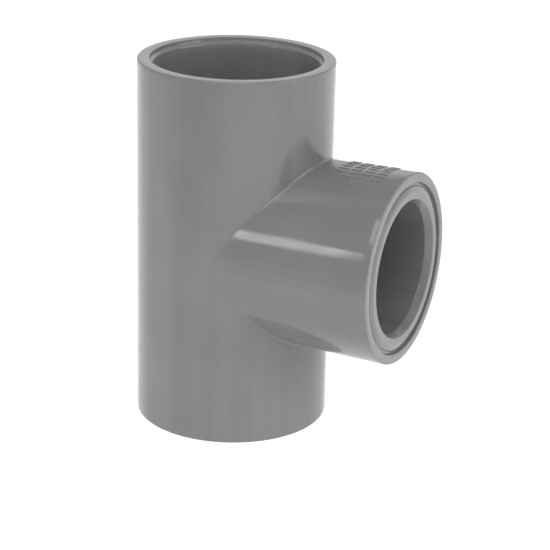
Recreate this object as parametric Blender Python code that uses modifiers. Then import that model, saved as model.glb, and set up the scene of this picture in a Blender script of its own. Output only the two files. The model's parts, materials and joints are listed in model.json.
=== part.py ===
"""Grey PVC-U tee fitting for 63 mm pipe, with a 63 x 50 mm reducing bush cemented in its branch.

Metres, +Z up. The run of the tee stands along Z and the branch points along +X. The origin is the
centre of the fitting's box, on the underside of the lower mouth.
"""

import math

import bmesh
import bpy
from mathutils import Matrix

# Pipe sizes
PIPE_RADIUS = 0.0315
SMALL_PIPE_RADIUS = 0.0250

# Tee: sockets, walls and how far they stand from the crossing of the two axes
SOCKET_DEPTH = 0.0380
RUN_WALL = 0.0060
BRANCH_MOUTH_WALL = 0.0050
BRANCH_ROOT_WALL = 0.0045
RUN_CENTRE_TO_STOP = 0.0330
BRANCH_CENTRE_TO_STOP = 0.0345
RUN_STOP_LIP = 0.0030
BRANCH_STOP_LIP = 0.0035

# Mouths of the tee: a shallow step inside a flat rim, then a chamfer down to the socket
STEP_WIDTH = 0.0013
STEP_DEPTH = 0.0015
CHAMFER_DEPTH = 0.0009
RIM_ROUND = 0.0006

# Reducing bush: its face slopes down to its outer wall, and a taper leads the pipe into its socket
CEMENT_GAP = 0.0003
SMALL_SOCKET_DEPTH = 0.0310
SMALL_STOP_LIP = 0.0030
FRONT_SLOPE_WIDTH = 0.0019
FRONT_SLOPE_DEPTH = 0.0006
LEAD_IN_WIDTH = 0.0015
LEAD_IN_DEPTH = 0.0028
TAIL_CHAMFER = 0.0010

# Raised bars on top of the branch, side by side in rows that go round it
BAR_ROWS = 4
BARS_PER_ROW = 7
BAR_WIDTH = 0.0012
BAR_LENGTH = 0.0036
BAR_HEIGHT = 0.0004
BAR_PITCH = 0.0030
BAR_ROW_PITCH = 0.0052
BARS_TO_FACE = 0.0095

# Mesh fineness, and how far a cutter runs past what it cuts
SEGMENTS = 96
ROUND_STEPS = 3
OVERRUN = 0.0060
SHARP_ANGLE = math.radians(25)

# Sizes that follow from the ones above
RUN_RADIUS = PIPE_RADIUS + RUN_WALL
RUN_LENGTH = 2 * (RUN_CENTRE_TO_STOP + SOCKET_DEPTH)
BRANCH_REACH = BRANCH_CENTRE_TO_STOP + SOCKET_DEPTH
BRANCH_MOUTH_RADIUS = PIPE_RADIUS + BRANCH_MOUTH_WALL
BRANCH_ROOT_RADIUS = PIPE_RADIUS + BRANCH_ROOT_WALL
STEP_RADIUS = PIPE_RADIUS + STEP_WIDTH
BUSH_RADIUS = PIPE_RADIUS - CEMENT_GAP
BUSH_LENGTH = SOCKET_DEPTH - CEMENT_GAP
AXIS_X = (RUN_RADIUS - BRANCH_REACH) / 2
AXIS_Z = RUN_LENGTH / 2


def clear_scene():
    for thing in list(bpy.data.objects):
        bpy.data.objects.remove(thing, do_unlink=True)


def new_collection(name):
    collection = bpy.data.collections.new(name)
    bpy.context.scene.collection.children.link(collection)
    return collection


def plastic(name, colour, roughness):
    """A Principled material of plain moulded plastic."""
    material = bpy.data.materials.new(name)
    material.use_nodes = True
    shader = material.node_tree.nodes["Principled BSDF"]
    shader.inputs["Base Color"].default_value = (*colour, 1.0)
    shader.inputs["Roughness"].default_value = roughness
    shader.inputs["Metallic"].default_value = 0.0
    material.diffuse_color = (*colour, 1.0)
    return material


def quarter_round(centre_r, centre_z, radius, start, end):
    """Points of a rounded corner, from one angle to another, in degrees, at the ends and between."""
    points = []
    for step in range(ROUND_STEPS + 1):
        angle = math.radians(start + (end - start) * step / ROUND_STEPS)
        points.append((centre_r + radius * math.cos(angle), centre_z + radius * math.sin(angle)))
    return points


def turned(name, profile, collection, closed=False):
    """A solid turned about Z, from a profile that runs down its outer side."""
    mesh = bpy.data.meshes.new(name)
    vertices = [(r, 0.0, z) for r, z in profile]
    edges = [(i, i + 1) for i in range(len(profile) - 1)]
    if closed:
        edges.append((len(profile) - 1, 0))
    mesh.from_pydata(vertices, edges, [])
    thing = bpy.data.objects.new(name, mesh)
    collection.objects.link(thing)
    screw = thing.modifiers.new("turn", "SCREW")
    screw.axis = "Z"
    screw.angle = 2 * math.pi
    screw.steps = SEGMENTS
    screw.render_steps = SEGMENTS
    screw.use_merge_vertices = True
    screw.merge_threshold = 0.00001
    return thing


def make_cutter(thing):
    thing.hide_render = True
    thing.display_type = "WIRE"
    return thing


def on_run_axis(thing):
    thing.location = (AXIS_X, 0.0, AXIS_Z)
    return thing


def on_branch_axis(thing):
    """Turns the object's own Z to +X, with its origin where the two axes cross."""
    thing.location = (AXIS_X, 0.0, AXIS_Z)
    thing.rotation_euler = (0.0, math.pi / 2, 0.0)
    return thing


def combine(thing, other, operation):
    boolean = thing.modifiers.new(other.name, "BOOLEAN")
    boolean.operation = operation
    boolean.solver = "EXACT"
    boolean.object = other


def settle(thing, material):
    """Applies the modifiers, and shades the result smooth between its sharp edges."""
    bpy.context.view_layer.update()
    evaluated = thing.evaluated_get(bpy.context.evaluated_depsgraph_get())
    mesh = bpy.data.meshes.new_from_object(evaluated)
    thing.modifiers.clear()
    thing.data = mesh
    mesh.shade_smooth()
    mesh.set_sharp_from_angle(angle=SHARP_ANGLE)
    mesh.materials.clear()
    mesh.materials.append(material)
    return thing


def mouth(face):
    """Inside of a mouth whose face is at this height, from outside the fitting down to the socket."""
    return [
        (STEP_RADIUS, face + OVERRUN),
        (STEP_RADIUS, face - STEP_DEPTH),
        (PIPE_RADIUS, face - STEP_DEPTH - CHAMFER_DEPTH),
    ]


def run_outside():
    half = RUN_LENGTH / 2
    centre_r = RUN_RADIUS - RIM_ROUND
    upper = quarter_round(centre_r, half - RIM_ROUND, RIM_ROUND, 90, 0)
    lower = quarter_round(centre_r, RIM_ROUND - half, RIM_ROUND, 0, -90)
    return [(0.0, half)] + upper + lower + [(0.0, -half)]


def branch_radius(along):
    """Outer radius of the branch, which narrows evenly from its rim to its root in the run's wall."""
    rim = BRANCH_REACH - RIM_ROUND
    share = (along - PIPE_RADIUS) / (rim - PIPE_RADIUS)
    return BRANCH_ROOT_RADIUS + share * (BRANCH_MOUTH_RADIUS - BRANCH_ROOT_RADIUS)


def branch_outside():
    """From the branch face back to the crossing of the axes, inside the run."""
    rim = quarter_round(BRANCH_MOUTH_RADIUS - RIM_ROUND, BRANCH_REACH - RIM_ROUND, RIM_ROUND, 90, 0)
    root = [(branch_radius(PIPE_RADIUS), PIPE_RADIUS), (BRANCH_ROOT_RADIUS, 0.0)]
    return [(0.0, BRANCH_REACH)] + rim + root + [(0.0, 0.0)]


def run_inside():
    """Both sockets of the run, the ledges that stop the pipes, and the passage between them."""
    half = RUN_LENGTH / 2
    passage = PIPE_RADIUS - RUN_STOP_LIP
    upper = mouth(half) + [(PIPE_RADIUS, RUN_CENTRE_TO_STOP), (passage, RUN_CENTRE_TO_STOP)]
    lower = [(r, -z) for r, z in reversed(upper)]
    return [(0.0, half + OVERRUN)] + upper + lower + [(0.0, -half - OVERRUN)]


def branch_inside():
    passage = PIPE_RADIUS - BRANCH_STOP_LIP
    socket = [(PIPE_RADIUS, BRANCH_CENTRE_TO_STOP), (passage, BRANCH_CENTRE_TO_STOP)]
    return [(0.0, BRANCH_REACH + OVERRUN)] + mouth(BRANCH_REACH) + socket + [(passage, 0.0), (0.0, 0.0)]


def bush_ring():
    """Outline of the bush's wall, down its outside from the face and back up through its bore."""
    face = BRANCH_REACH
    tail = face - BUSH_LENGTH
    neck = SMALL_PIPE_RADIUS - SMALL_STOP_LIP
    stop = face - SMALL_SOCKET_DEPTH
    wall = BUSH_RADIUS - SMALL_PIPE_RADIUS
    slope_width = min(FRONT_SLOPE_WIDTH, wall / 3)
    lead_in_width = min(LEAD_IN_WIDTH, wall / 3)
    front = [(BUSH_RADIUS - slope_width, face), (BUSH_RADIUS, face - FRONT_SLOPE_DEPTH)]
    outside = [(BUSH_RADIUS, tail + TAIL_CHAMFER), (BUSH_RADIUS - TAIL_CHAMFER, tail)]
    bore = [(neck, tail), (neck, stop), (SMALL_PIPE_RADIUS, stop)]
    lead_in = [(SMALL_PIPE_RADIUS, face - LEAD_IN_DEPTH), (SMALL_PIPE_RADIUS + lead_in_width, face)]
    return front + outside + bore + lead_in


def raised_bars(name, collection):
    """All the raised bars as one cutter; each bar's foot is sunk to the middle of the branch's wall."""
    bars = bmesh.new()
    for row in range(BAR_ROWS):
        along = BRANCH_REACH - BARS_TO_FACE - row * BAR_ROW_PITCH
        surface = branch_radius(along)
        depth = BAR_HEIGHT + BRANCH_ROOT_WALL / 2
        middle = surface + BAR_HEIGHT - depth / 2
        size = Matrix.Diagonal((BAR_LENGTH, BAR_WIDTH, depth, 1.0))
        for place in range(BARS_PER_ROW):
            angle = (place - (BARS_PER_ROW - 1) / 2) * BAR_PITCH / surface
            place_bar = Matrix.Rotation(angle, 4, "X") @ Matrix.Translation((along, 0.0, middle))
            bmesh.ops.create_cube(bars, size=1.0, matrix=place_bar @ size)
    mesh = bpy.data.meshes.new(name)
    bars.to_mesh(mesh)
    bars.free()
    thing = bpy.data.objects.new(name, mesh)
    collection.objects.link(thing)
    return make_cutter(on_run_axis(thing))


def build_tee(parts, cutters):
    body = on_run_axis(turned("tee_body", run_outside(), parts))
    branch = make_cutter(on_branch_axis(turned("branch_solid", branch_outside(), cutters)))
    combine(body, branch, "UNION")
    combine(body, raised_bars("raised_bars", cutters), "UNION")
    run_bore = make_cutter(on_run_axis(turned("run_bore", run_inside(), cutters)))
    branch_bore = make_cutter(on_branch_axis(turned("branch_bore", branch_inside(), cutters)))
    combine(body, run_bore, "DIFFERENCE")
    combine(body, branch_bore, "DIFFERENCE")
    return settle(body, plastic("tee_plastic", (0.225, 0.225, 0.222), 0.42))


def build_bush(parts):
    bush = on_branch_axis(turned("reducing_bush", bush_ring(), parts, closed=True))
    return settle(bush, plastic("bush_plastic", (0.235, 0.235, 0.232), 0.38))


def main():
    clear_scene()
    parts = new_collection("pvc_tee_fitting")
    cutters = new_collection("cutters")
    build_tee(parts, cutters)
    build_bush(parts)


main()
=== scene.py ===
"""Looks of a grey PVC-U tee fitting and the reducing bush cemented in its branch.

Two finely meshed mouldings replace the CAD solids. They stand on a pale floor, in soft studio light.
"""

import json
import math

import bmesh
import bpy
import numpy as np
from mathutils import Matrix, Vector


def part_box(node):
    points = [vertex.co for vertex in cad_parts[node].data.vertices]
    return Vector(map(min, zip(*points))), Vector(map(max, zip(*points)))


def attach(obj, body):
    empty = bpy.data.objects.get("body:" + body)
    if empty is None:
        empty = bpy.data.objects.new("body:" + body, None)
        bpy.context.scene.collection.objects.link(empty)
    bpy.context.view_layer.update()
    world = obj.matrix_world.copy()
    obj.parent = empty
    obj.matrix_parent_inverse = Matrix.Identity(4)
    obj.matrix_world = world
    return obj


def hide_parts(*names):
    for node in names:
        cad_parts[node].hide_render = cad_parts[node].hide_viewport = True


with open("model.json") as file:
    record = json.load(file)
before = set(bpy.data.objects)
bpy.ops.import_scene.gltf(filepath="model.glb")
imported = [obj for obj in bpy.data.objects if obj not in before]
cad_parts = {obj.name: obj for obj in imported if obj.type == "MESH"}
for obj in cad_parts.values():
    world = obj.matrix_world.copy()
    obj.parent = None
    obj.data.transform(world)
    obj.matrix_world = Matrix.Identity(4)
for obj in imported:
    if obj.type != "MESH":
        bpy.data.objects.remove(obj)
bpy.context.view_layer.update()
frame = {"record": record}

# ---------------------------------------------------------------- sizes, from the frame
mounts = {mount["name"]: Vector(mount["pos_m"]) for mount in frame["record"]["mounts"]}
tee_low, tee_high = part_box("tee_body")
bush_low, bush_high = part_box("reducing_bush")

RUN_RADIUS = tee_high.y
RUN_LENGTH = tee_high.z
AXIS_X = tee_low.x + RUN_RADIUS
AXIS_Z = (bush_low.z + bush_high.z) / 2
BRANCH_REACH = tee_high.x - AXIS_X
BUSH_RADIUS = bush_high.y
BUSH_TAIL = bush_low.x - AXIS_X
RUN_STOP = mounts["top_pipe_stop"].z - AXIS_Z
SMALL_STOP = mounts["side_pipe_stop"].x - AXIS_X

# Walls and edges of the tee, in metres
BRANCH_MOUTH_WALL = 0.0050
BRANCH_ROOT_WALL = 0.0045
RUN_STOP_LIP = 0.0030
BRANCH_STOP_LIP = 0.0035
STEP_WIDTH = 0.0013
STEP_DEPTH = 0.0015
CHAMFER_DEPTH = 0.0009
CHAMFER_EASE = 0.0001
RIM_ROUND = 0.0006
EDGE_ROUND = 0.00025
CREASE_ROUND = 0.0010

# The bush, and the bead of cement that closes the gap round it
CEMENT_GAP = 0.0003
SMALL_SOCKET_RADIUS = 0.0250
SMALL_STOP_LIP = 0.0030
FRONT_SLOPE_WIDTH = 0.0019
FRONT_SLOPE_DEPTH = 0.0006
LEAD_IN_WIDTH = 0.0015
LEAD_IN_DEPTH = 0.0028
TAIL_CHAMFER = 0.0010
BEAD_TO_STEP = 0.00005
BEAD_DEPTH = 0.0010
BEAD_HEIGHT = 0.0005

# Raised bars on top of the branch, side by side in rows that go round it
BAR_ROWS = 4
BARS_PER_ROW = 7
BAR_WIDTH = 0.0012
BAR_LENGTH = 0.0036
BAR_HEIGHT = 0.0003
BAR_PITCH = 0.0030
BAR_ROW_PITCH = 0.0052
BARS_TO_FACE = 0.0095
BAR_EDGE = 0.0002

# Sizes that follow from the ones above
SOCKET_RADIUS = BUSH_RADIUS + CEMENT_GAP
BRANCH_STOP = BUSH_TAIL - CEMENT_GAP
RUN_PASSAGE = SOCKET_RADIUS - RUN_STOP_LIP
BRANCH_PASSAGE = SOCKET_RADIUS - BRANCH_STOP_LIP
BRANCH_MOUTH_RADIUS = SOCKET_RADIUS + BRANCH_MOUTH_WALL
BRANCH_ROOT_RADIUS = SOCKET_RADIUS + BRANCH_ROOT_WALL
STEP_RADIUS = SOCKET_RADIUS + STEP_WIDTH
BEAD_RADIUS = STEP_RADIUS - BEAD_TO_STEP
NECK_RADIUS = SMALL_SOCKET_RADIUS - SMALL_STOP_LIP

# Fineness of the meshes
RING = 192
SEAM = 48
AROUND_BRANCH = 2 * RING + 2 * SEAM
SPREAD_STEPS = 36
SPREAD_POWER = 1.5
BLEND_STEPS = 8
BLEND_ROUNDS = 4
BRANCH_STEPS = 24
SOCKET_STEPS = 10
NECK_STEPS = 8
ROUND_STEPS = 5
EDGE_STEPS = 3
WELD_DISTANCE = 1e-7
SHARP_ANGLE = math.radians(32)


# ---------------------------------------------------------------- mesh building
class Skin:
    """A surface made of closed loops of points, each joined to the next by a band of quads."""

    def __init__(self):
        self.points = []
        self.faces = []

    def loop(self, points):
        first = len(self.points)
        self.points.extend(tuple(point) for point in points)
        return list(range(first, len(self.points)))

    def band(self, one, other):
        count = len(one)
        for i in range(count):
            j = (i + 1) % count
            self.faces.append((one[i], one[j], other[j], other[i]))

    def bands(self, loops):
        for one, other in zip(loops, loops[1:]):
            self.band(one, other)

    def object(self, name):
        """The surface as an object, with doubled points welded and its faces pointing out."""
        mesh = bpy.data.meshes.new(name)
        mesh.from_pydata(self.points, [], self.faces)
        work = bmesh.new()
        work.from_mesh(mesh)
        bmesh.ops.remove_doubles(work, verts=work.verts, dist=WELD_DISTANCE)
        bmesh.ops.recalc_face_normals(work, faces=work.faces)
        work.to_mesh(mesh)
        work.free()
        return new_object(name, mesh)


def new_object(name, data):
    thing = bpy.data.objects.new(name, data)
    bpy.context.scene.collection.objects.link(thing)
    return thing


def arc(centre_r, centre_h, radius, start, end, steps):
    """Points (radius, height) along a rounded edge, from one angle to another, in degrees."""
    turns = np.radians(np.linspace(start, end, steps + 1))
    return [(centre_r + radius * math.cos(t), centre_h + radius * math.sin(t)) for t in turns]


def between(start, end, steps):
    """Points that split a straight stretch of a profile into equal steps, without its two ends."""
    start, end = np.array(start), np.array(end)
    return [tuple(start + (end - start) * k / steps) for k in range(1, steps)]


def rim_profile(outer_radius, face):
    """From the outer wall over the rim, down the step and the chamfer into the socket."""
    foot = face - STEP_DEPTH
    socket_top = foot - CHAMFER_DEPTH
    rim = arc(outer_radius - RIM_ROUND, face - RIM_ROUND, RIM_ROUND, 0, 90, ROUND_STEPS)
    lip = arc(STEP_RADIUS + EDGE_ROUND, face - EDGE_ROUND, EDGE_ROUND, 90, 180, EDGE_STEPS)
    step = [
        (STEP_RADIUS, foot + EDGE_ROUND),
        (STEP_RADIUS - EDGE_ROUND / 3, foot + EDGE_ROUND / 6),
    ]
    chamfer = [
        (STEP_RADIUS - EDGE_ROUND, foot - EDGE_ROUND / 2),
        (SOCKET_RADIUS + CHAMFER_EASE, socket_top + CHAMFER_EASE),
        (SOCKET_RADIUS, socket_top - 2 * CHAMFER_EASE),
    ]
    return rim + lip + step + chamfer


def stop_profile(passage, stop):
    """The ledge at the foot of a socket that a pipe's end meets, down to the passage beyond it."""
    ledge = [
        (SOCKET_RADIUS, stop + EDGE_ROUND),
        (SOCKET_RADIUS - EDGE_ROUND / 3, stop + EDGE_ROUND / 3),
        (SOCKET_RADIUS - EDGE_ROUND, stop),
    ]
    return ledge + arc(passage + EDGE_ROUND, stop - EDGE_ROUND, EDGE_ROUND, 90, 180, EDGE_STEPS)


def socket_profile(outer_radius, face, passage, stop):
    """From the outer wall over the rim, down the socket and over its ledge, as (radius, height)."""
    rim = rim_profile(outer_radius, face)
    wall = between(rim[-1], (SOCKET_RADIUS, stop + EDGE_ROUND), SOCKET_STEPS)
    return rim + wall + stop_profile(passage, stop)


# Angles round the run, from its back seam right round to it again, and round the branch
RUN_TURNS = np.pi - 2 * np.pi * np.arange(RING + 1) / RING
BRANCH_TURNS = 2 * np.pi * np.arange(AROUND_BRANCH) / AROUND_BRANCH


def on_run(radius, turns, heights):
    """Points on a cylinder round the run's axis; heights are from where the two axes cross."""
    return np.stack(
        [AXIS_X + radius * np.cos(turns), radius * np.sin(turns), AXIS_Z + heights + 0 * turns], axis=1)


def run_ring(radius, height):
    return on_run(radius, RUN_TURNS[:RING], np.full(RING, height))


def branch_ring(radius, along):
    """A ring round the branch's axis; along, from where the axes cross, can differ from point to point."""
    return np.stack(
        [
            AXIS_X + along + 0 * BRANCH_TURNS,
            radius * np.cos(BRANCH_TURNS),
            AXIS_Z + radius * np.sin(BRANCH_TURNS),
        ],
        axis=1)


def branch_radius(along):
    """Outer radius of the branch, which narrows evenly from its rim to its root in the run's wall."""
    rim = BRANCH_REACH - RIM_ROUND
    share = np.clip((along - SOCKET_RADIUS) / (rim - SOCKET_RADIUS), 0, None)
    return BRANCH_ROOT_RADIUS + share * (BRANCH_MOUTH_RADIUS - BRANCH_ROOT_RADIUS)


# ---------------------------------------------------------------- the tee
def outline_of_run():
    """The unrolled run's border, with as many points as a branch ring, as (turn, share of the height)."""
    up = np.linspace(0, 1, SEAM // 2 + 1)[:-1]
    down = np.linspace(1, -1, SEAM + 1)[:-1]
    border = [(np.pi, h) for h in up]
    border += [(t, 1.0) for t in RUN_TURNS[:-1]]
    border += [(-np.pi, h) for h in down]
    border += [(-t, -1.0) for t in RUN_TURNS[:-1]]
    border += [(np.pi, h) for h in np.linspace(-1, 0, SEAM // 2 + 1)[:-1]]
    return np.array(border)


def pierced_wall(skin, radius, turns, heights, half_height):
    """A cylinder's wall with a hole whose edge runs through the given points. Gives the hole's loop."""
    border = outline_of_run()
    loops = []
    for k in range(SPREAD_STEPS + 1):
        share = (k / SPREAD_STEPS) ** SPREAD_POWER
        turn = turns + share * (border[:, 0] - turns)
        height = heights + share * (border[:, 1] * half_height - heights)
        loops.append(skin.loop(on_run(radius, turn, height)))
    skin.bands(loops)
    return loops[0]


def crease():
    """The rounded crease between run and branch, as if a ball had rolled along both.

    Gives its rings of points from run to branch, its edge on the run as turns and heights, and how far
    along the branch each point's ball lies.
    """
    ball = CREASE_ROUND
    along = np.full(AROUND_BRANCH, RUN_RADIUS)
    # The branch's radius depends on where the ball lies, so the place is found in a few rounds
    for _ in range(BLEND_ROUNDS):
        reach = branch_radius(along) + ball
        across = reach * np.cos(BRANCH_TURNS)
        along = np.sqrt((RUN_RADIUS + ball) ** 2 - across**2)
    height = reach * np.sin(BRANCH_TURNS)
    to_run = -np.stack([along, across, 0 * along], axis=1) / (RUN_RADIUS + ball)
    to_branch = -np.stack([0 * along, np.cos(BRANCH_TURNS), np.sin(BRANCH_TURNS)], axis=1)
    opening = np.arccos(np.clip((to_run * to_branch).sum(axis=1), -1, 1))[:, None]
    centre = np.stack([AXIS_X + along, across, AXIS_Z + height], axis=1)
    rings = []
    for k in range(BLEND_STEPS + 1):
        share = k / BLEND_STEPS
        direction = np.sin((1 - share) * opening) * to_run + np.sin(share * opening) * to_branch
        rings.append(centre + ball * direction / np.sin(opening))
    return rings, np.arctan2(across, along), height, along


def run_end(skin, sign):
    """One end of the run, from its outer wall over the rim and down to the passage."""
    profile = socket_profile(RUN_RADIUS, RUN_LENGTH / 2, RUN_PASSAGE, RUN_STOP)
    skin.bands([skin.loop(run_ring(radius, sign * height)) for radius, height in profile])


def branch_outside(skin, root):
    """Loops along the branch's outer wall, from just after its crease to the start of its rim."""
    rim_start = BRANCH_REACH - RIM_ROUND
    loops = []
    for k in range(1, BRANCH_STEPS + 1):
        along = root + (rim_start - root) * k / BRANCH_STEPS
        loops.append(skin.loop(branch_ring(branch_radius(along), along)))
    return loops


def branch_inside(skin, opening):
    """Loops over the branch's rim, down its socket and its passage to where that opens into the run's."""
    profile = socket_profile(BRANCH_MOUTH_RADIUS, BRANCH_REACH, BRANCH_PASSAGE, BRANCH_STOP)
    loops = [skin.loop(branch_ring(radius, along)) for radius, along in profile[1:]]
    neck = BRANCH_STOP - EDGE_ROUND
    for k in range(1, NECK_STEPS + 1):
        along = neck + (opening - neck) * k / NECK_STEPS
        loops.append(skin.loop(branch_ring(BRANCH_PASSAGE, along)))
    return loops


def tee_body():
    """The tee's moulding without its raised bars, as one closed surface."""
    skin = Skin()
    for sign in (1, -1):
        run_end(skin, sign)
    blend, turns, heights, root = crease()
    wall_edge = pierced_wall(skin, RUN_RADIUS, turns, heights, RUN_LENGTH / 2 - RIM_ROUND)
    blend_loops = [skin.loop(points) for points in blend]
    across = BRANCH_PASSAGE * np.cos(BRANCH_TURNS)
    opening = np.sqrt(RUN_PASSAGE**2 - across**2)
    branch_loops = branch_outside(skin, root) + branch_inside(skin, opening)
    passage_edge = pierced_wall(
        skin, RUN_PASSAGE, np.arctan2(across, opening), BRANCH_PASSAGE * np.sin(BRANCH_TURNS),
        RUN_STOP - EDGE_ROUND)
    skin.bands([wall_edge] + blend_loops + branch_loops + [passage_edge])
    return skin.object("tee_moulding")


def raised_bars():
    """Rounded bars whose feet are sunk in the branch's wall."""
    bars = bmesh.new()
    crossing = Matrix.Translation((AXIS_X, 0.0, AXIS_Z))
    for row in range(BAR_ROWS):
        along = BRANCH_REACH - BARS_TO_FACE - row * BAR_ROW_PITCH
        surface = float(branch_radius(along))
        depth = BAR_HEIGHT + BRANCH_ROOT_WALL / 2
        middle = surface + BAR_HEIGHT - depth / 2
        size = Matrix.Diagonal((BAR_LENGTH, BAR_WIDTH, depth, 1.0))
        for place in range(BARS_PER_ROW):
            angle = (place - (BARS_PER_ROW - 1) / 2) * BAR_PITCH / surface
            lift = Matrix.Rotation(angle, 4, "X") @ Matrix.Translation((along, 0.0, middle))
            bmesh.ops.create_cube(bars, size=1.0, matrix=crossing @ lift @ size)
    bmesh.ops.bevel(
        bars, geom=list(bars.edges), offset=BAR_EDGE, offset_type="OFFSET", segments=EDGE_STEPS,
        profile=0.5, affect="EDGES")
    mesh = bpy.data.meshes.new("raised_bars")
    bars.to_mesh(mesh)
    bars.free()
    return new_object("raised_bars", mesh)


# ---------------------------------------------------------------- the bush
# A rounded corner takes no more than this share of either side next to it
CORNER_SHARE = 0.4


def rounded(corners, radius):
    """A closed profile through the given corners, each rounded, with straight sides between them."""
    corners = [np.array(corner) for corner in corners]
    points = []
    for before, corner, after in zip(corners[-1:] + corners[:-1], corners, corners[1:] + corners[:1]):
        back_length, ahead_length = np.linalg.norm(before - corner), np.linalg.norm(after - corner)
        reach = min(radius, CORNER_SHARE * back_length, CORNER_SHARE * ahead_length)
        back = (before - corner) / back_length
        ahead = (after - corner) / ahead_length
        for k in range(EDGE_STEPS + 1):
            share = k / EDGE_STEPS
            points.append(corner + reach * ((1 - share) ** 2 * back + share**2 * ahead))
    return points


def bush_ring_profile():
    """Round the wall of the bush: its face, the bead of cement, its outside, its tail, and its bore."""
    face = BRANCH_REACH
    corners = [
        (BUSH_RADIUS - FRONT_SLOPE_WIDTH, face),
        (BUSH_RADIUS, face - FRONT_SLOPE_DEPTH),
        (BUSH_RADIUS + CEMENT_GAP, face - BEAD_DEPTH),
        (BEAD_RADIUS, face - BEAD_DEPTH - CEMENT_GAP / 2),
        (BEAD_RADIUS, face - BEAD_DEPTH - BEAD_HEIGHT),
        (BUSH_RADIUS, face - BEAD_DEPTH - 3 * BEAD_HEIGHT),
        (BUSH_RADIUS, BUSH_TAIL + TAIL_CHAMFER),
        (BUSH_RADIUS - TAIL_CHAMFER, BUSH_TAIL),
        (NECK_RADIUS, BUSH_TAIL),
        (NECK_RADIUS, SMALL_STOP),
        (SMALL_SOCKET_RADIUS, SMALL_STOP),
        (SMALL_SOCKET_RADIUS, face - LEAD_IN_DEPTH),
        (SMALL_SOCKET_RADIUS + LEAD_IN_WIDTH, face),
    ]
    return rounded(corners, EDGE_ROUND)


def bush():
    skin = Skin()
    loops = [skin.loop(branch_ring(radius, along)) for radius, along in bush_ring_profile()]
    skin.bands(loops + loops[:1])
    return skin.object("bush_moulding")


# ---------------------------------------------------------------- finishing a moulding
def join_on(thing, other):
    """Joins other onto thing as one closed surface, and takes other away."""
    boolean = thing.modifiers.new("join", "BOOLEAN")
    boolean.operation = "UNION"
    boolean.solver = "EXACT"
    boolean.object = other
    bpy.context.view_layer.update()
    evaluated = thing.evaluated_get(bpy.context.evaluated_depsgraph_get())
    mesh = bpy.data.meshes.new_from_object(evaluated)
    thing.modifiers.clear()
    thing.data = mesh
    bpy.data.objects.remove(other, do_unlink=True)


def smooth(thing):
    thing.data.shade_smooth()
    thing.data.set_sharp_from_angle(angle=SHARP_ANGLE)


def dress(thing, node, material):
    """Gives a moulding its material, and puts it in the place of its CAD node."""
    thing.data.materials.clear()
    thing.data.materials.append(material)
    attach(thing, "root")
    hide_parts(node)


# ---------------------------------------------------------------- plastic
# Darkest and lightest grey of each moulding, and its roughness
TEE_DARK = (0.154, 0.155, 0.156)
TEE_LIGHT = (0.188, 0.186, 0.182)
TEE_ROUGHNESS = 0.13
BUSH_DARK = (0.160, 0.161, 0.162)
BUSH_LIGHT = (0.192, 0.190, 0.186)
BUSH_ROUGHNESS = 0.15
PVC_IOR = 1.53

# Fineness of the marks, as noise scales per metre
MOTTLE_SCALE = 30.0
FLOW_AND_REFLECTION_SCALE = 95.0
SPECK_SCALE = 1500.0
SCUFF_SCALE = 420.0
SCUFF_PATCH_SCALE = 26.0
GLOSS_SCALE = 90.0
WAVE_SCALE = 50.0
PEEL_SCALE = 900.0

# Noise levels between which a mark goes from none to full
TONE_LEVELS = (0.38, 0.62)
SPECK_LEVELS = (0.70, 0.78)
SCUFF_LEVELS = (0.58, 0.80)
SCUFF_PATCH_LEVELS = (0.50, 0.70)
GLOSS_LEVELS = (0.35, 0.65)

# Strength of the marks: shares and factors of colour, changes of roughness, heights in metres
MOTTLE_SHARE = 0.4
# The streaks' share of the tone is partly painted reflection of uneven light from the floor
FLOW_AND_REFLECTION_SHARE = 0.6
SPECK_SHARE = 0.25
SPECK_FACTOR = 0.45
SCUFF_SHARE = 0.22
SCUFF_FACTOR = 1.5
SCUFF_ROUGHNESS = 0.15
GLOSS_CHANGE = 0.03
WAVE_HEIGHT = 0.00011
FLOW_HEIGHT = 0.000012
PEEL_HEIGHT = 0.000004

# A streak's width as a share of its length (for the flow streaks with their painted reflection, and for
# the scuffs), and the width of the change from run to branch
STREAK_STRETCH = 0.04
STREAK_CHANGE = 0.0015

# Sockets of a Mix node that mixes colours
MIX_SHARE, MIX_ONE, MIX_OTHER, MIX_RESULT = 0, 6, 7, 2


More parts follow.
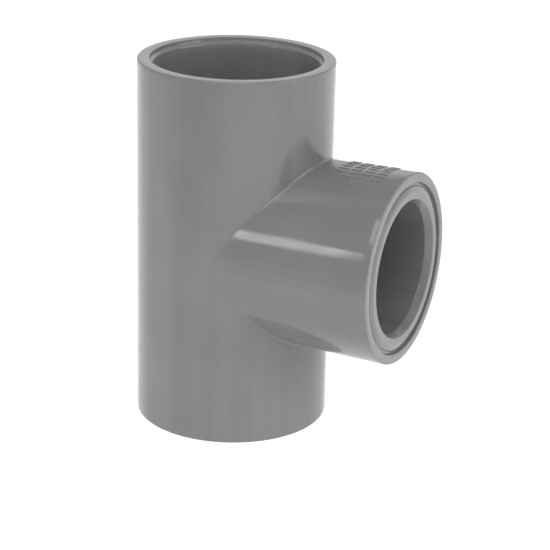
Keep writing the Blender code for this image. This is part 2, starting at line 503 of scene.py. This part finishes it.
class Nodes:
    """Short calls for building a material's node tree."""

    def __init__(self, name):
        self.material = bpy.data.materials.new(name)
        self.material.use_nodes = True
        self.tree = self.material.node_tree
        self.shader = self.tree.nodes["Principled BSDF"]
        self.place = self.tree.nodes.new("ShaderNodeTexCoord").outputs["Object"]

    def link(self, output, target):
        self.tree.links.new(output, target)

    def math(self, operation, one, other):
        node = self.tree.nodes.new("ShaderNodeMath")
        node.operation = operation
        for socket, value in zip(node.inputs, (one, other)):
            if isinstance(value, (int, float)):
                socket.default_value = value
            else:
                self.link(value, socket)
        return node.outputs[0]

    def vector_math(self, operation, vector, constant=(0.0, 0.0, 0.0)):
        node = self.tree.nodes.new("ShaderNodeVectorMath")
        node.operation = operation
        node.inputs[1].default_value = constant
        self.link(vector, node.inputs[0])
        return node.outputs["Value" if operation == "LENGTH" else "Vector"]

    def stretched(self, scale):
        node = self.tree.nodes.new("ShaderNodeMapping")
        node.inputs["Scale"].default_value = scale
        self.link(self.place, node.inputs["Vector"])
        return node.outputs[0]

    def noise(self, scale, detail=3.0, roughness=0.55, vector=None):
        node = self.tree.nodes.new("ShaderNodeTexNoise")
        node.inputs["Scale"].default_value = scale
        node.inputs["Detail"].default_value = detail
        node.inputs["Roughness"].default_value = roughness
        self.link(self.place if vector is None else vector, node.inputs["Vector"])
        return node.outputs["Fac"]

    def ramp(self, value, low, high, low_out=0.0, high_out=1.0):
        node = self.tree.nodes.new("ShaderNodeMapRange")
        node.inputs["From Min"].default_value = low
        node.inputs["From Max"].default_value = high
        node.inputs["To Min"].default_value = low_out
        node.inputs["To Max"].default_value = high_out
        self.link(value, node.inputs["Value"])
        return node.outputs["Result"]

    def mix(self, share, one, other):
        node = self.tree.nodes.new("ShaderNodeMix")
        node.data_type = "RGBA"
        self.link(share, node.inputs[MIX_SHARE])
        for socket, value in ((node.inputs[MIX_ONE], one), (node.inputs[MIX_OTHER], other)):
            if isinstance(value, tuple):
                socket.default_value = (*value, 1.0)
            else:
                self.link(value, socket)
        return node.outputs[MIX_RESULT]

    def bump(self, height, distance, before=None):
        node = self.tree.nodes.new("ShaderNodeBump")
        node.inputs["Distance"].default_value = distance
        node.inputs["Strength"].default_value = 1.0
        self.link(height, node.inputs["Height"])
        if before is not None:
            self.link(before, node.inputs["Normal"])
        return node.outputs["Normal"]


def streak_places(nodes):
    """Object places stretched along the run, and along the branch beyond the run's wall."""
    from_axis = nodes.vector_math("SUBTRACT", nodes.place, (AXIS_X, 0.0, 0.0))
    flat = nodes.vector_math("MULTIPLY", from_axis, (1.0, 1.0, 0.0))
    radius = nodes.vector_math("LENGTH", flat)
    on_branch = nodes.ramp(radius, RUN_RADIUS, RUN_RADIUS + STREAK_CHANGE)
    along_run = nodes.stretched((1.0, 1.0, STREAK_STRETCH))
    along_branch = nodes.stretched((STREAK_STRETCH, 1.0, 1.0))
    return nodes.mix(on_branch, along_run, along_branch)


def plastic(name, dark, light, roughness):
    """Moulded grey PVC-U: slow mottling, flow streaks whose colour is partly painted reflection, a faint
    waviness, specks and light scuffs.
    """
    nodes = Nodes(name)
    streaks_at = streak_places(nodes)

    mottle = nodes.noise(MOTTLE_SCALE)
    # Streaks along the run and branch: their colour is partly moulding flow marks and partly painted
    # reflection of uneven light from the floor; the same noise also gives the flow marks' faint relief
    flow_and_reflection = nodes.noise(FLOW_AND_REFLECTION_SCALE, vector=streaks_at)
    tone = nodes.math(
        "ADD", nodes.math("MULTIPLY", mottle, MOTTLE_SHARE), nodes.math("MULTIPLY", flow_and_reflection, FLOW_AND_REFLECTION_SHARE))
    colour = nodes.mix(nodes.ramp(tone, *TONE_LEVELS), dark, light)

    speck = nodes.ramp(nodes.noise(SPECK_SCALE, detail=2.0, roughness=0.5), *SPECK_LEVELS)
    speck_colour = tuple(SPECK_FACTOR * c for c in dark)
    colour = nodes.mix(nodes.math("MULTIPLY", speck, SPECK_SHARE), colour, speck_colour)

    scuff_noise = nodes.noise(SCUFF_SCALE, detail=4.0, roughness=0.65, vector=streaks_at)
    scuffs = nodes.ramp(scuff_noise, *SCUFF_LEVELS)
    patches = nodes.ramp(nodes.noise(SCUFF_PATCH_SCALE, detail=2.0), *SCUFF_PATCH_LEVELS)
    worn = nodes.math("MULTIPLY", scuffs, patches)
    scuff_colour = tuple(SCUFF_FACTOR * c for c in light)
    colour = nodes.mix(nodes.math("MULTIPLY", worn, SCUFF_SHARE), colour, scuff_colour)
    nodes.link(colour, nodes.shader.inputs["Base Color"])

    gloss = nodes.ramp(
        nodes.noise(GLOSS_SCALE, detail=4.0), *GLOSS_LEVELS,
        roughness - GLOSS_CHANGE, roughness + GLOSS_CHANGE)
    worn_gloss = nodes.math("ADD", gloss, nodes.math("MULTIPLY", worn, SCUFF_ROUGHNESS))
    nodes.link(worn_gloss, nodes.shader.inputs["Roughness"])
    nodes.shader.inputs["IOR"].default_value = PVC_IOR

    waves = nodes.bump(nodes.noise(WAVE_SCALE, detail=1.0), WAVE_HEIGHT)
    streaks = nodes.bump(flow_and_reflection, FLOW_HEIGHT, waves)
    peel = nodes.bump(nodes.noise(PEEL_SCALE, detail=2.0), PEEL_HEIGHT, streaks)
    nodes.link(peel, nodes.shader.inputs["Normal"])
    return nodes.material


# ---------------------------------------------------------------- studio
# Where the camera stands round the fitting, how far off, and its lens and sensor in millimetres
CAMERA_AZIMUTH = math.radians(26.49)
CAMERA_ELEVATION = math.radians(20.49)
CAMERA_ROLL = math.radians(1.44)
CAMERA_DISTANCE = 0.7274
CAMERA_LENS = 122.49
SENSOR_WIDTH = 36.0
CLIP_START = 0.01

# How far to the right of the run's middle and above it the camera aims
AIM_RIGHT = 0.01597
AIM_UP = -0.01519

LIGHT_DISTANCE = 1.6

# The floor, and where its glow falls off in front of the fitting
FLOOR_HALF_SIZE = 6.0
FLOOR_GAP = 0.0001
FLOOR_GREY = (0.5, 0.5, 0.5, 1.0)
FLOOR_ROUGHNESS = 0.9
GLOW_FRONT_Y, GLOW_FRONT = -0.60, 0.30
GLOW_BACK_Y, GLOW_BACK = -0.12, 0.78

# The room's brightness from the horizon up to one height, and from another height on
ROOM_LOW_Z, ROOM_LOW = 0.35, 0.68
ROOM_HIGH_Z, ROOM_HIGH = 0.75, 0.50

WHITE = (1.0, 1.0, 1.0, 1.0)


def camera():
    """A long lens from the front right, a little above the fitting and slightly rolled."""
    toward = Vector((
        math.sin(CAMERA_AZIMUTH) * math.cos(CAMERA_ELEVATION),
        -math.cos(CAMERA_AZIMUTH) * math.cos(CAMERA_ELEVATION),
        math.sin(CAMERA_ELEVATION),
    ))
    level = Vector((0, 0, 1)).cross(toward).normalized()
    above = toward.cross(level)
    right = math.cos(CAMERA_ROLL) * level + math.sin(CAMERA_ROLL) * above
    up = math.cos(CAMERA_ROLL) * above - math.sin(CAMERA_ROLL) * level
    aim = Vector((AXIS_X, 0, RUN_LENGTH / 2)) + AIM_RIGHT * right + AIM_UP * up
    data = bpy.data.cameras.new("photo_view")
    data.lens = CAMERA_LENS
    data.sensor_width = SENSOR_WIDTH
    data.clip_start = CLIP_START
    thing = new_object("photo_view", data)
    turn = Matrix((right, up, toward)).transposed().to_4x4()
    thing.matrix_world = Matrix.Translation(aim + CAMERA_DISTANCE * toward) @ turn
    bpy.context.scene.camera = thing


def soft_light(name, azimuth, elevation, width, height, radiance):
    """An even rectangle of light facing the fitting; azimuth turns from +X toward +Y, in degrees."""
    turn, lift = math.radians(azimuth), math.radians(elevation)
    away = Vector((math.cos(turn) * math.cos(lift), math.sin(turn) * math.cos(lift), math.sin(lift)))
    data = bpy.data.lights.new(name, "AREA")
    data.shape = "RECTANGLE"
    data.size = width
    data.size_y = height
    data.energy = radiance * math.pi * width * height
    thing = new_object(name, data)
    thing.location = Vector((AXIS_X, 0.0, AXIS_Z)) + LIGHT_DISTANCE * away
    thing.rotation_euler = away.to_track_quat("Z", "Y").to_euler()
    thing.visible_camera = False


def level_along(tree, places, axis, start, start_level, end, end_level):
    """A number that goes smoothly from one level to another along an axis of the tree's places."""
    coordinates = tree.nodes.new("ShaderNodeTexCoord")
    split = tree.nodes.new("ShaderNodeSeparateXYZ")
    tree.links.new(coordinates.outputs[places], split.inputs[0])
    change = tree.nodes.new("ShaderNodeMapRange")
    change.interpolation_type = "SMOOTHSTEP"
    change.inputs["From Min"].default_value = start
    change.inputs["From Max"].default_value = end
    change.inputs["To Min"].default_value = start_level
    change.inputs["To Max"].default_value = end_level
    tree.links.new(split.outputs[axis], change.inputs["Value"])
    return change.outputs["Result"]


def room():
    """An even white room around the fitting, a little dimmer overhead."""
    world = bpy.data.worlds.new("studio")
    bpy.context.scene.world = world
    world.use_nodes = True
    tree = world.node_tree
    background = tree.nodes["Background"]
    background.inputs["Color"].default_value = WHITE
    strength = level_along(tree, "Generated", "Z", ROOM_LOW_Z, ROOM_LOW, ROOM_HIGH_Z, ROOM_HIGH)
    tree.links.new(strength, background.inputs["Strength"])


def floor():
    """A plain table that glows white, so that shadows on it are faint, and less so far in front."""
    mesh = bpy.data.meshes.new("floor")
    sheet = bmesh.new()
    bmesh.ops.create_grid(sheet, x_segments=1, y_segments=1, size=FLOOR_HALF_SIZE)
    sheet.to_mesh(mesh)
    sheet.free()
    thing = new_object("floor", mesh)
    thing.location = (0.0, 0.0, tee_low.z - FLOOR_GAP)
    paper = bpy.data.materials.new("table_white")
    paper.use_nodes = True
    tree = paper.node_tree
    shader = tree.nodes["Principled BSDF"]
    shader.inputs["Base Color"].default_value = FLOOR_GREY
    shader.inputs["Roughness"].default_value = FLOOR_ROUGHNESS
    shader.inputs["Emission Color"].default_value = WHITE
    glow = level_along(tree, "Object", "Y", GLOW_FRONT_Y, GLOW_FRONT, GLOW_BACK_Y, GLOW_BACK)
    tree.links.new(glow, shader.inputs["Emission Strength"])
    mesh.materials.append(paper)


def studio():
    """The room, the floor, three broad lights, and two narrow ones that draw the branch's highlights."""
    room()
    floor()
    soft_light("key", azimuth=6.0, elevation=20.0, width=1.0, height=0.8, radiance=2.5)
    soft_light("back", azimuth=108.0, elevation=20.0, width=1.2, height=0.6, radiance=0.3)
    soft_light("high_front", azimuth=-82.0, elevation=58.0, width=1.3, height=0.9, radiance=3.0)
    soft_light("left_strip", azimuth=-119.0, elevation=22.0, width=0.042, height=0.27, radiance=24.0)
    soft_light("right_strip", azimuth=-114.7, elevation=22.2, width=0.034, height=0.26, radiance=15.0)
    bpy.context.scene.view_settings.view_transform = "Standard"


# ---------------------------------------------------------------- the scene
tee = tee_body()
join_on(tee, raised_bars())
smooth(tee)
dress(tee, "tee_body", plastic("tee_pvc", TEE_DARK, TEE_LIGHT, TEE_ROUGHNESS))
ring = bush()
smooth(ring)
dress(ring, "reducing_bush", plastic("bush_pvc", BUSH_DARK, BUSH_LIGHT, BUSH_ROUGHNESS))
camera()
studio()
